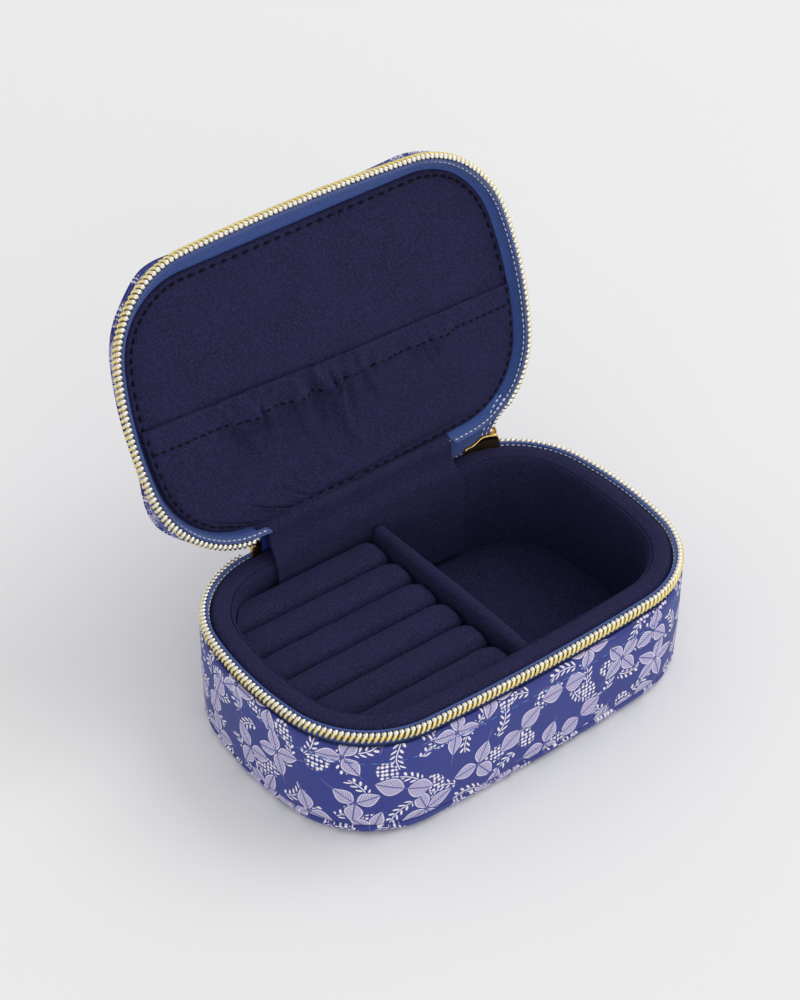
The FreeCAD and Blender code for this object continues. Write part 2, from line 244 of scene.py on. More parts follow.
def sweep(profile, start=0.0, end=None, closed=False, spacing=1.5):
    """A profile of (inset, z) points carried round the outline, whole or between two places."""
    whole = end is None
    end = track_total if whole else end
    bm = bmesh.new()
    along = bm.verts.layers.float.new("along")
    verts = []
    length = 0.0
    for index, (inset, z) in enumerate(profile):
        if index:
            length += math.dist(profile[index - 1], profile[index])
        point, _, _ = track_point(start, inset, z)
        vert = bm.verts.new(point)
        vert[along] = length
        verts.append(vert)
    pairs = list(zip(verts, verts[1:]))
    if closed:
        pairs.append((verts[-1], verts[0]))
    edges = [bm.edges.new(pair) for pair in pairs]
    ends = []
    if closed and not whole:
        ends.append(bm.faces.new(verts))
    geom = verts + edges
    done = 0.0
    for arc in arcs:
        arc_length = arc[2] * (arc[4] - arc[3])
        first = max(start - done, 0)
        last = min(end - done, arc_length)
        done += arc_length
        if last - first < 1e-6:
            continue
        turn = (last - first) / arc[2]
        steps = max(1, round((last - first) / spacing))
        made = bmesh.ops.spin(bm, geom=geom, cent=(arc[0], arc[1], 0), axis=(0, 0, -1), angle=turn,
                              steps=steps)
        geom = made["geom_last"]
    if closed and not whole:
        last_verts = [item for item in geom if isinstance(item, bmesh.types.BMVert)]
        last_edges = [item for item in geom if isinstance(item, bmesh.types.BMEdge)]
        bmesh.ops.contextual_create(bm, geom=last_verts + last_edges)
    bmesh.ops.remove_doubles(bm, verts=bm.verts, dist=1e-4)
    return bm


def rim_edges(bm):
    return [edge for edge in bm.edges if edge.is_boundary]


def fill_flat(bm, level):
    """Close the open rim that lies at one level."""
    rim = [edge for edge in rim_edges(bm) if all(abs(vert.co.z - level) < 1e-3 for vert in edge.verts)]
    bmesh.ops.contextual_create(bm, geom=rim)


def outward(bm):
    bmesh.ops.recalc_face_normals(bm, faces=bm.faces)


def swing_open(bm):
    """Turn a piece of the shut lid to the open lid."""
    turn = Matrix.Rotation(-open_angle, 3, "X")
    bmesh.ops.rotate(bm, cent=(0, hinge_y, hinge_z), matrix=turn, verts=bm.verts)


def swung(x, y, z):
    """Where a point of the shut lid is when the lid is open."""
    centre = Vector((0, hinge_y, hinge_z))
    return centre + Matrix.Rotation(-open_angle, 3, "X") @ (Vector((x, y, z)) - centre)


def smooth(value):
    """0 below nought, 1 above one, and a soft step between."""
    value = min(max(value, 0.0), 1.0)
    return value * value * (3 - 2 * value)


def draw_in(bm, front, left):
    """The soft lid sinks in behind its zip, along the front and on the left."""
    full_height = 5
    front_middle = -8
    front_reach = 56
    front_start = 4
    front_fade = 28
    left_start = 36
    left_fade = 18
    back_end = 30
    back_fade = 20
    for vert in bm.verts:
        x, y, z = vert.co
        rise = 0.5 + 0.5 * smooth((z - lid_band_bottom) / full_height)
        along_front = max(0.0, 1 - ((x - front_middle) / front_reach) ** 2)
        on_left = smooth((-x - left_start) / left_fade) * smooth((back_end - y) / back_fade)
        vert.co.y += front * rise * along_front * smooth((-y - front_start) / front_fade)
        vert.co.x += left * rise * on_left


def set_on_open_lid(bm, front=lid_draw_front, left=lid_draw_left):
    """Draw a piece of the shut lid in, then turn it to the open lid."""
    draw_in(bm, front, left)
    swing_open(bm)


def side_uv(bm):
    """UV in millimetres: along the outline, and up the profile."""
    layer = bm.loops.layers.uv.new("UVMap")
    along = bm.verts.layers.float["along"]
    for face in bm.faces:
        middle = face.calc_center_median()
        centre = track_distance(middle.x, middle.y)
        for loop in face.loops:
            u = track_distance(loop.vert.co.x, loop.vert.co.y)
            if u - centre > track_total / 2:
                u -= track_total
            if centre - u > track_total / 2:
                u += track_total
            loop[layer].uv = (u, loop.vert[along])


def flat_uv(bm, level):
    """UV in millimetres, from above, with the turned edge laid out flat."""
    layer = bm.loops.layers.uv.new("UVMap")
    for face in bm.faces:
        for loop in face.loops:
            co = loop.vert.co
            _, out, _ = track_point(track_distance(co.x, co.y), 0, 0)
            shift = out * abs(co.z - level)
            loop[layer].uv = (co.x + shift.x, co.y + shift.y)


def piece(name, bm, material, body, nodes=(), sharp=50):
    """A finished piece: its mesh in metres, its material, and the body it rides on."""
    bmesh.ops.scale(bm, vec=(MM, MM, MM), verts=bm.verts)
    mesh = bpy.data.meshes.new(name)
    bm.to_mesh(mesh)
    bm.free()
    mesh.shade_smooth()
    mesh.set_sharp_from_angle(angle=math.radians(sharp))
    obj = bpy.data.objects.new(name, mesh)
    bpy.context.scene.collection.objects.link(obj)
    mesh.materials.append(material)
    if body:
        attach(obj, body)
    if nodes:
        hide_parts(*nodes)
    return obj


def thicken(panel):
    """Give a leather panel its thickness, inwards from the face that shows."""
    thick = panel.modifiers.new("thickness", "SOLIDIFY")
    thick.thickness = panel_leather * MM
    thick.offset = -1


# Material helpers

def linear(code):
    """Linear colour of an sRGB hex value."""
    parts = [int(code[i:i + 2], 16) / 255 for i in (1, 3, 5)]
    return [c / 12.92 if c <= 0.04045 else ((c + 0.055) / 1.055) ** 2.4 for c in parts] + [1.0]


def add(tree, kind, links=None, **settings):
    """A node with its settings and what feeds it: a socket is linked, anything else is a value."""
    item = tree.nodes.new(kind)
    for key, value in settings.items():
        setattr(item, key, value)
    for key, value in (links or {}).items():
        if isinstance(value, bpy.types.NodeSocket):
            tree.links.new(value, item.inputs[key])
        else:
            item.inputs[key].default_value = value
    return item


def material(name):
    """A new material with its shader node and the tree that it is in."""
    made = bpy.data.materials.new(name)
    made.use_nodes = True
    tree = made.node_tree
    return made, tree, tree.nodes["Principled BSDF"]


def coats(tree, ground, *layers):
    """A ground colour with others laid over it in turn, each as far as its mask lets it show."""
    for mask, colour in layers:
        ground = add(tree, "ShaderNodeMix", {0: mask, 6: ground, 7: colour}, data_type="RGBA").outputs[2]
    return ground


def suede_material():
    """Brushed microsuede: a matt, deep navy nap that pales where it is brushed the other way."""
    made, tree, shader = material("brushed_suede")
    spot = add(tree, "ShaderNodeTexCoord").outputs["Object"]
    nap_size = 9.0
    fibre_size = 0.5
    nap = add(tree, "ShaderNodeTexNoise", {"Vector": spot, "Scale": 1 / (nap_size * MM), "Detail": 3.0})
    fibre = add(tree, "ShaderNodeTexNoise", {"Vector": spot, "Scale": 1 / (fibre_size * MM), "Detail": 2.0})
    speck = add(tree, "ShaderNodeMapRange", {0: fibre.outputs[0], 1: 0.35, 2: 0.75}).outputs[0]
    colour = coats(tree, linear("#14142a"), (nap.outputs[0], linear("#222240")), (speck, linear("#2d2d52")))
    tree.links.new(colour, shader.inputs["Base Color"])
    shader.inputs["Roughness"].default_value = 0.95
    shader.inputs["Specular IOR Level"].default_value = 0.15
    shader.inputs["Sheen Weight"].default_value = 0.2
    shader.inputs["Sheen Roughness"].default_value = 0.45
    shader.inputs["Sheen Tint"].default_value = linear("#4d4d92")
    bump = add(tree, "ShaderNodeBump", {"Height": fibre.outputs[0], "Strength": 0.5, "Distance": 0.12 * MM})
    tree.links.new(bump.outputs[0], shader.inputs["Normal"])
    return made


class Field:
    """A number that the shader works out at every point, so that a pattern can be written as sums."""

    def __init__(self, tree, socket):
        self.tree = tree
        self.socket = socket

    def calc(self, operation, *others):
        values = [other.socket if isinstance(other, Field) else other for other in others]
        links = dict(enumerate([self.socket] + values))
        return Field(self.tree, add(self.tree, "ShaderNodeMath", links, operation=operation).outputs[0])

    def __add__(self, other):
        return self.calc("ADD", other)

    def __sub__(self, other):
        return self.calc("SUBTRACT", other)

    def __mul__(self, other):
        return self.calc("MULTIPLY", other)

    def __truediv__(self, other):
        return self.calc("DIVIDE", other)

    def __or__(self, other):
        return self.calc("MAXIMUM", other)

    def inside(self, soft=0.07):
        """1 where the number is above nought and 0 below, with a soft edge in millimetres."""
        ramp = add(self.tree, "ShaderNodeMapRange", {0: self.socket, 1: -soft, 2: soft})
        return Field(self.tree, ramp.outputs[0])


def motif_cells(tree, spot, cell, seed, jitter):
    """Cells scattered over the print: the place in a cell's own turned axes, and two random numbers."""
    moved = add(tree, "ShaderNodeMapping", {"Vector": spot, "Location": (seed * 13.7, seed * 7.9, 0.0),
                                            "Rotation": (0.0, 0.0, seed * 0.45)}).outputs[0]
    cells = add(tree, "ShaderNodeTexVoronoi", {"Vector": moved, "Scale": 1 / cell, "Randomness": jitter},
                voronoi_dimensions="2D")
    local = add(tree, "ShaderNodeVectorMath", {0: moved, 1: cells.outputs["Position"]}, operation="SUBTRACT")
    values = add(tree, "ShaderNodeSeparateColor", {0: cells.outputs["Color"]})
    angle = Field(tree, values.outputs[0]) * (2 * math.pi)
    turned = add(tree, "ShaderNodeVectorRotate", {"Vector": local.outputs[0], "Angle": angle.socket},
                 rotation_type="Z_AXIS")
    place = add(tree, "ShaderNodeSeparateXYZ", {0: turned.outputs[0]})
    return [Field(tree, socket) for socket in (place.outputs[0], place.outputs[1], values.outputs[1],
                                               values.outputs[2])]


def foliage(tree, spot):
    """Printed leaf fans, sprigs and berries: masks of the leaves, their lines and the white."""
    # Fans of two to five leaves, turned at random
    fan_spacing = 14.0
    shortest_leaf = 6.0
    outline_width = 0.24
    midrib_half_width = 0.16
    clear_margin = 0.45
    x, y, pick, size = motif_cells(tree, spot, fan_spacing, 1, 0.5)
    count = (pick * 3.99).calc("FLOOR") + 2.0
    half_sector = count.calc("POWER", -1.0) * math.pi
    angle = y.calc("ARCTAN2", x) + math.pi
    from_leaf = half_sector - (angle + half_sector).calc("PINGPONG", half_sector)
    reach = (x * x + y * y).calc("SQRT")
    along = reach * from_leaf.calc("COSINE")
    across = reach * from_leaf.calc("SINE")
    tip = size * 1.6 + shortest_leaf
    share = ((along - 0.5) / tip).calc("MAXIMUM", 0.0).calc("MINIMUM", 1.0)
    bulge = (share.calc("POWER", 0.8) * math.pi).calc("SINE")
    width = count.calc("POWER", -1.0) * 3.4 + 1.1
    depth = bulge * width - across
    leaf = depth.inside()
    edge = leaf - (depth - outline_width).inside()
    rib = ((along - across * 0.9) * 4.4).calc("SINE").calc("ABSOLUTE")
    veins = leaf * (rib * -1.0 + 0.3).inside(0.2)
    midrib = leaf * (across * -1.0 + midrib_half_width).inside(0.05)
    clear = (depth + clear_margin).inside() * -1.0 + 1.0
    # Sprigs with a curved stalk and paired leaflets
    sprig_spacing = 9.0
    sprig_half_length = 4.0
    stalk_half_width = 0.14
    leaflet_spacing = 1.7
    leaflet_away = 0.95
    leaflet_radius = 0.62
    sx, sy, _, keep = motif_cells(tree, spot, sprig_spacing, 2, 0.6)
    bend = sy + sx * sx * 0.07
    span = (sx.calc("ABSOLUTE") * -1.0 + sprig_half_length).inside()
    side = bend.calc("ABSOLUTE")
    stalk = (side * -1.0 + stalk_half_width).inside(0.05) * span
    lean = sx - side * 0.8
    step = (lean / leaflet_spacing).calc("FRACT") * leaflet_spacing - leaflet_spacing / 2
    away = side - leaflet_away
    oval = (step * step * 2.6 + away * away).calc("SQRT")
    leaflet = (oval * -1.0 + leaflet_radius).inside() * span
    sprig = (stalk | leaflet) * (keep * -1.0 + 0.95).inside(0.001)
    # Berries in loose bunches
    bunch_spacing = 14.0
    bunch_radius = 3.4
    berry_spacing = 1.2
    berry_share = 0.37
    bx, by, _, choose = motif_cells(tree, spot, bunch_spacing, 3, 0.7)
    bunch = ((bx * bx + by * by * 2.0).calc("SQRT") * -1.0 + bunch_radius).inside(0.2)
    dots = add(tree, "ShaderNodeTexVoronoi", {"Vector": spot, "Scale": 1 / berry_spacing, "Randomness": 0.3},
               voronoi_dimensions="2D").outputs["Distance"]
    berry = (Field(tree, dots) * -1.0 + berry_share).inside(0.06) * bunch
    berry = berry * (choose * -1.0 + 0.85).inside(0.001)
    white = (sprig * (bunch * -1.0 + 1.0) | berry) * clear
    return leaf.socket, (edge | veins).socket, midrib.socket, white.socket


def leather_material(name, printed):
    """Smooth coated leather: a fine pebbled grain under a satin coat, with a screen print where asked."""
    made, tree, shader = material(name)
    coords = add(tree, "ShaderNodeTexCoord")
    spot = coords.outputs["Object"]
    wear_size = 14.0 * MM
    wear = add(tree, "ShaderNodeTexNoise", {"Vector": spot, "Scale": 1 / wear_size, "Detail": 4.0}).outputs[0]
    ground = coats(tree, linear("#28317a"), (wear, linear("#313c8c")))
    if printed:
        flat = coords.outputs["UV"]
        leaf, lines, midrib, white = foliage(tree, flat)
        hatch_size = 0.6
        hatch = add(tree, "ShaderNodeTexNoise", {"Vector": flat, "Scale": 1 / hatch_size, "Detail": 3.0})
        violet = coats(tree, linear("#625d9b"), (hatch.outputs[0], linear("#c4bbdb")))
        ground = coats(tree, ground, (white, linear("#ece6ee")), (leaf, violet),
                       (lines, linear("#e4deee")), (midrib, linear("#4a4c92")))
    tree.links.new(ground, shader.inputs["Base Color"])
    shader.inputs["Roughness"].default_value = 0.48
    shader.inputs["Specular IOR Level"].default_value = 0.4
    grain_size = 0.55 * MM
    grain = add(tree, "ShaderNodeTexVoronoi", {"Vector": spot, "Scale": 1 / grain_size}).outputs["Distance"]
    bump = add(tree, "ShaderNodeBump", {"Height": grain, "Strength": 0.25, "Distance": 0.06 * MM})
    tree.links.new(bump.outputs[0], shader.inputs["Normal"])
    return made


def tape_material():
    """Woven polyester zip tape: a royal blue twill whose ribs run aslant."""
    made, tree, shader = material("twill_zip_tape")
    uv = add(tree, "ShaderNodeTexCoord").outputs["UV"]
    turned = add(tree, "ShaderNodeMapping", {"Vector": uv, "Rotation": (0, 0, math.radians(52))})
    rib = 0.55
    ribs = add(tree, "ShaderNodeTexWave",
               {"Vector": turned.outputs[0], "Scale": 1 / (rib * 3.2), "Distortion": 0.6},
               bands_direction="X").outputs[1]
    thread_size = 0.3
    threads = add(tree, "ShaderNodeTexNoise", {"Vector": uv, "Scale": 1 / thread_size}).outputs[0]
    faint = add(tree, "ShaderNodeMath", {0: threads, 1: 0.35}, operation="MULTIPLY").outputs[0]
    colour = coats(tree, linear("#152860"), (ribs, linear("#2e4f9b")), (faint, linear("#4368b4")))
    tree.links.new(colour, shader.inputs["Base Color"])
    shader.inputs["Roughness"].default_value = 0.8
    shader.inputs["Sheen Weight"].default_value = 0.3
    bump = add(tree, "ShaderNodeBump", {"Height": ribs, "Strength": 0.6, "Distance": 0.12 * MM})
    tree.links.new(bump.outputs[0], shader.inputs["Normal"])
    return made


def metal_material(name, dark, pale, rough):
    """Plated metal: bright, with a faint cloud of handling marks in its polish."""
    made, tree, shader = material(name)
    spot = add(tree, "ShaderNodeTexCoord").outputs["Object"]
    mark_size = 2.5 * MM
    marks = add(tree, "ShaderNodeTexNoise", {"Vector": spot, "Scale": 1 / mark_size, "Detail": 3.0})
    cloud = marks.outputs[0]
    tree.links.new(coats(tree, linear(dark), (cloud, linear(pale))), shader.inputs["Base Color"])
    shader.inputs["Metallic"].default_value = 1.0
    spread = add(tree, "ShaderNodeMapRange", {0: cloud, 3: rough * 0.7, 4: rough * 1.4}).outputs[0]
    tree.links.new(spread, shader.inputs["Roughness"])
    return made


def thread_material(name, dark, pale):
    """Twisted sewing thread: the plies show as slanting stripes."""
    made, tree, shader = material(name)
    spot = add(tree, "ShaderNodeTexCoord").outputs["Object"]
    ply_size = 1.2 * MM
    ply = add(tree, "ShaderNodeTexWave", {"Vector": spot, "Scale": 1 / ply_size, "Distortion": 1.0},
              bands_direction="DIAGONAL").outputs[1]
    tree.links.new(coats(tree, linear(dark), (ply, linear(pale))), shader.inputs["Base Color"])
    shader.inputs["Roughness"].default_value = 0.75
    shader.inputs["Specular IOR Level"].default_value = 0.15
    return made


def board_material():
    """Pressed board under navy lining paper: dull and fibrous."""
    made, tree, shader = material("grey_board")
    spot = add(tree, "ShaderNodeTexCoord").outputs["Object"]
    fibre_size = 0.8 * MM
    fibre = add(tree, "ShaderNodeTexNoise", {"Vector": spot, "Scale": 1 / fibre_size, "Detail": 5.0})
    colour = coats(tree, linear("#1a1c30"), (fibre.outputs[0], linear("#2a2d48")))
    tree.links.new(colour, shader.inputs["Base Color"])
    shader.inputs["Roughness"].default_value = 0.9
    return made


def foam_material():
    """Open-cell foam: soft, dark and full of small pores, with painted shade in the pores."""
    made, tree, shader = material("open_cell_foam")
    spot = add(tree, "ShaderNodeTexCoord").outputs["Object"]
    pore_size = 0.9 * MM
    pores = add(tree, "ShaderNodeTexVoronoi", {"Vector": spot, "Scale": 1 / pore_size}).outputs["Distance"]
    # Painted shade: the colour darkens towards the middle of each pore, where the hollow lies in shadow.
    colour = coats(tree, linear("#15152b"), (pores, linear("#2a2a4a")))
    tree.links.new(colour, shader.inputs["Base Color"])
    shader.inputs["Roughness"].default_value = 0.95
    bump = add(tree, "ShaderNodeBump", {"Height": pores, "Strength": 0.6, "Distance": 0.3 * MM})
    tree.links.new(bump.outputs[0], shader.inputs["Normal"])
    return made


suede = suede_material()
print_leather = leather_material("printed_leather", True)
plain_leather = leather_material("plain_leather", False)
twill = tape_material()
gold = metal_material("gold_plated_coil", "#e6cf7c", "#fbeeb4", 0.34)
silver = metal_material("champagne_coil_heads", "#dcd8cb", "#f8f6ef", 0.3)
brass = metal_material("polished_brass", "#b98f45", "#e6c983", 0.12)
blue_thread = thread_material("pale_blue_thread", "#3f62ab", "#6f95d2")
white_thread = thread_material("white_thread", "#c9ccd6", "#f2f3f7")
navy_thread = thread_material("navy_thread", "#030308", "#0a0a16")
grey_board = board_material()
foam = foam_material()


# Sewing

def stitch_row(places, length, thick):
    """Short raised threads, each at a point with a direction of travel and a way out of the cloth."""
    bm = bmesh.new()
    for point, out, along in places:
        across = out.cross(along)
        turn = Matrix((along, across, out)).transposed().to_4x4()
        size = Matrix.Diagonal((length / 2, thick / 2, thick / 2, 1))
        bmesh.ops.create_uvsphere(bm, u_segments=6, v_segments=5, radius=1,
                                  matrix=Matrix.Translation(point) @ turn @ size)
    return bm


def wall_stitches(inset, z, pitch, start, end):
    """Places for stitches round a wall, between two places of the outline."""
    count = int((end - start) / pitch)
    return [track_point(start + pitch * (index + 0.5), inset, z) for index in range(count)]


def facing_down(places):
    return [(point, Vector((0, 0, -1)), along) for point, _, along in places]


def inward(places):
    return [(point, -out, along) for point, out, along in places]


# Leather shell

def quarter_round(inset, z, radius, turn_in, turn_up, steps=6):
    """Points of a rounded edge from the wall to the flat: centre, radius and which way each side goes."""
    points = []
    for index in range(steps + 1):
        angle = math.pi / 2 * index / steps
        across = turn_in * radius * (1 - math.cos(angle))
        points.append((inset + across, z + turn_up * radius * math.sin(angle)))
    return points


def base_shell():
    seam_turn = 0.55
    stitch_level = base_band_top - topstitch_drop
    profile = [
        (leather, base_seam + 0.4), (seam_turn, base_seam + 0.12), (0.12, base_seam + 0.45),
        (0.0, base_seam + 1.2),
        (-0.12, 8.0), (-0.2, 13.0), (-0.2, 18.0), (-0.1, stitch_level - 1.2), (0.02, stitch_level - 0.4),
        (0.1, stitch_level), (0.02, stitch_level + 0.4), (-0.12, stitch_level + 1.2),
        (-0.12, base_band_top - 1.6),
        (0.0, base_band_top - 0.7), (0.3, base_band_top - 0.18), (0.75, base_band_top),
        (1.15, base_band_top - 0.2), (leather, base_band_top - 0.8), (leather, 20.0),
    ]
    bm = sweep(profile, closed=True)
    outward(bm)
    side_uv(bm)
    piece("base_band", bm, print_leather, "base", ["base_side_band"])

    profile = [(leather, base_seam - 0.4), (seam_turn, base_seam - 0.1), (0.1, base_seam - 0.4)]
    profile += quarter_round(0.0, base_edge - 0.1, base_edge - 0.1, 1, -1)
    profile += [(9.0, 0.0)]
    bm = sweep(profile)
    fill_flat(bm, 0.0)
    outward(bm)
    flat_uv(bm, 0.0)
    panel = piece("base_bottom", bm, print_leather, "base", ["base_bottom_panel"])
    thicken(panel)

    stitches = stitch_row(wall_stitches(0.02, stitch_level, topstitch_pitch, 0, track_total),
                          topstitch_length, topstitch_thread)
    piece("base_topstitch", stitches, blue_thread, "base")


def lid_shell():
    start = back_place(lid_gap_half)
    end = back_place(-lid_gap_half)
    stitch_level = lid_band_bottom + 3.4
    profile = [
        (leather, lid_seam - 0.4), (0.55, lid_seam - 0.1), (0.1, lid_seam - 0.4), (0.0, lid_seam - 1.0),
        (0.08, stitch_level), (0.0, stitch_level - 0.6), (-0.05, lid_band_bottom + 1.4),
        (0.05, lid_band_bottom + 0.6), (0.35, lid_band_bottom + 0.15), (0.75, lid_band_bottom),
        (1.15, lid_band_bottom + 0.2), (leather, lid_band_bottom + 0.8),
    ]
    bm = sweep(profile, start, end, closed=True)
    outward(bm)
    side_uv(bm)
    set_on_open_lid(bm)
    piece("lid_band", bm, print_leather, "lid", ["lid_side_band"])

    crown = 0.7
    profile = [(leather, lid_seam + 0.5), (0.55, lid_seam + 0.1), (0.1, lid_seam + 0.4)]
    profile += quarter_round(0.0, lid_top - lid_edge, lid_edge, 1, 1, 8)
    profile += [(9.0, lid_top + 0.35 * crown), (16.0, lid_top + 0.75 * crown), (24.0, lid_top + crown)]
    bm = sweep(profile)
    fill_flat(bm, lid_top + crown)
    outward(bm)
    flat_uv(bm, lid_top)
    set_on_open_lid(bm)
    panel = piece("lid_top", bm, print_leather, "lid", ["lid_top_panel"])
    thicken(panel)

    board = 0.9
    board_foot = lid_band_bottom + 1.0
    board_head = lid_seam - 0.4
    profile = [(leather, board_foot), (leather, board_head), (leather + board, board_head),
               (leather + board, board_foot)]
    bm = sweep(profile, start, end, closed=True)
    set_on_open_lid(bm)
    outward(bm)
    piece("lid_wall_stiffener", bm, grey_board, "lid", ["lid_wall_board"])
    bm = sweep([(leather + board + 0.2, lid_seam - 1.6), (leather + board + 0.2, lid_seam - 0.5)])
    fill_flat(bm, lid_seam - 1.6)
    fill_flat(bm, lid_seam - 0.5)
    set_on_open_lid(bm)
    outward(bm)
    piece("lid_top_stiffener", bm, grey_board, "lid", ["lid_top_board"])

    places = wall_stitches(0.0, stitch_level, topstitch_pitch, start, end)
    stitches = stitch_row(places, topstitch_length, topstitch_thread)
    set_on_open_lid(stitches)
    piece("lid_topstitch", stitches, blue_thread, "lid")


# Zip

def tape_band(line, start, end):
    """Zip tape whose outer face follows a line of (inset, z) points."""
    inner = [(inset + tape, z) for inset, z in reversed(line)]
    bm = sweep(list(line) + inner, start, end, closed=True)
    outward(bm)
    side_uv(bm)
    return bm


def coil_curve(level, way, start, end):
    """One half of the coil as a wire that loops round, from the tape to the head and back."""
    count = int((end - start) / tooth_pitch)
    outer = 0.35
    crest = 0.82
    inner = 1.3
    low = level - way * coil_low
    high = level - way * coil_high
    shoulder = high - way * 0.5
    loop = [
        (0.0, inner, low), (0.1, inner, shoulder), (0.25, crest, high), (0.4, outer, shoulder),
        (0.62, outer - 0.1, (low + shoulder) / 2), (0.8, outer, low), (0.92, crest, low - way * 0.1),
    ]
    points = []
    for index in range(count):
        for share, inset, z in loop:
            point, _, _ = track_point(start + tooth_pitch * (index + share), inset, z)
            points.append(point)
    return points


def wire_mesh(points, radius, roundness):
    """A round wire along points, as a mesh."""
    curve = bpy.data.curves.new("wire", "CURVE")
    curve.dimensions = "3D"
    line = curve.splines.new("POLY")
    line.points.add(len(points) - 1)
    for spot, point in zip(line.points, points):
        spot.co = (*point, 1)
    curve.bevel_depth = radius
    curve.bevel_resolution = roundness
    curve.use_fill_caps = True
    holder = bpy.data.objects.new("wire", curve)
    mesh = bpy.data.meshes.new_from_object(holder)
    bpy.data.objects.remove(holder)
    bpy.data.curves.remove(curve)
    bm = bmesh.new()
    bm.from_mesh(mesh)
    bpy.data.meshes.remove(mesh)
    return bm


def coil_heads(level, way, start, end):
    """The bead that heads each loop of the coil."""
    bm = bmesh.new()
    count = int((end - start) / tooth_pitch)
    for index in range(count):
        place = start + tooth_pitch * (index + 0.25)
        point, out, along = track_point(place, 0.95, level - way * (coil_high + 0.28))
        turn = Matrix((along, out, Vector((0, 0, 1)))).transposed().to_4x4()
        size = Matrix.Diagonal((head_along, head_out, head_up, 1))
        bead = Matrix.Translation(point) @ turn @ size
        bmesh.ops.create_icosphere(bm, subdivisions=2, radius=1, matrix=bead)
    return bm


def zip_half(name, level, way, line, start, end, tape_start, tape_end, body, nodes):
    """Tape, coil, heads and sewing of one half of the zip; way is 1 below the meeting line and -1 above."""
    lid_side = body == "lid"
    bm = tape_band(line, tape_start, tape_end)
    wires = wire_mesh(coil_curve(level, way, start, end), coil_wire, 1)
    heads = coil_heads(level, way, start, end)
    places = []
    for drop in tape_rows if lid_side else tape_rows[:1]:
        row = wall_stitches(tape_inset + tape, level - way * drop, tape_stitch_pitch, tape_start, tape_end)
        places += inward(row)
    sewing = stitch_row(places, tape_stitch_length, tape_thread)
    for made in (bm, wires, heads, sewing):
        if lid_side:
            swing_open(made)
    piece(name + "_tape", bm, twill, body, nodes[:1])
    piece(name + "_coil", wires, gold, body, nodes[1:], sharp=80)
    piece(name + "_coil_heads", heads, silver, body, sharp=80)
    piece(name + "_coil_sewing", sewing, white_thread, body)


# Tray

def tray():
    rim = tray_inset - 2.0
    crease = inner_inset - 1.1
    profile = [
        (tray_inset, tray_foot), (tray_inset, 18.0), (rim, 28.0), (rim, 30.6), (rim + 0.15, 31.5),
        (rim + 0.6, 32.35),
        (rim + 1.3, tray_top), (rim + 2.2, tray_top + 0.1), (crease - 0.5, tray_top - 0.1),
        (crease - 0.12, tray_top - 0.4), (crease, tray_top - 0.95), (crease + 0.14, tray_top - 0.6),
        (crease + 0.45, tray_top - 0.55), (inner_inset - 0.2, 31.6), (inner_inset, 30.4), (inner_inset, 18.0),
        (inner_inset, 5.6), (inner_inset, tray_foot),
    ]
    bm = sweep(profile, closed=True)
    # The back of the liner stays clear of the hinge leather
    for vert in bm.verts:
        vert.co.y = min(vert.co.y, hinge_y - 1.0)
    outward(bm)
    piece("tray_liner", bm, suede, "base", ["tray_wall"])

    crown = 0.1
    profile = [(inner_inset + 0.1, tray_foot), (inner_inset + 0.1, tray_foot + 1.0),
               (inner_inset + 0.5, tray_floor_top), (inner_inset + 5.0, tray_floor_top + crown)]
    bm = sweep(profile)
    fill_flat(bm, tray_floor_top + crown)
    fill_flat(bm, tray_foot)
    outward(bm)
    piece("tray_floor_board", bm, suede, "base", ["tray_floor"])


def soft_box(low, high, cuts, bevel):
    """A block with rounded edges, cut into even faces."""
    bm = bmesh.new()
    middle = (Vector(low) + Vector(high)) / 2
    size = Vector(high) - Vector(low)
    shape = Matrix.Translation(middle) @ Matrix.Diagonal((*size, 1))
    bmesh.ops.create_cube(bm, size=1, matrix=shape)
    bmesh.ops.bevel(bm, geom=list(bm.edges), offset=bevel, segments=4, profile=0.5, affect="EDGES",
                    material=-1)
    for axis, count in enumerate(cuts):
        for index in range(1, count):
            place = Vector(low)
            place[axis] += size[axis] * index / count
            normal = Vector((0, 0, 0))
            normal[axis] = 1
            geom = list(bm.verts) + list(bm.edges) + list(bm.faces)
            bmesh.ops.bisect_plane(bm, geom=geom, plane_co=place, plane_no=normal)
    return bm


def node_box(name):
    """A node's corners in millimetres."""
    low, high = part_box(name)
    return low / MM, high / MM


def divider():
    low, high = node_box("divider")
    bm = soft_box(low, high, (1, 30, 6), 1.6)
    for vert in bm.verts:
        share = (vert.co.y - low.y) / (high.y - low.y)
        vert.co.x += 0.25 * math.sin(5.0 * share)
        vert.co.z += 0.25 * math.sin(math.pi * share) * max(0, (vert.co.z - low.z) / (high.z - low.z)) - 0.1
    piece("tray_divider", bm, suede, "base", ["divider"])


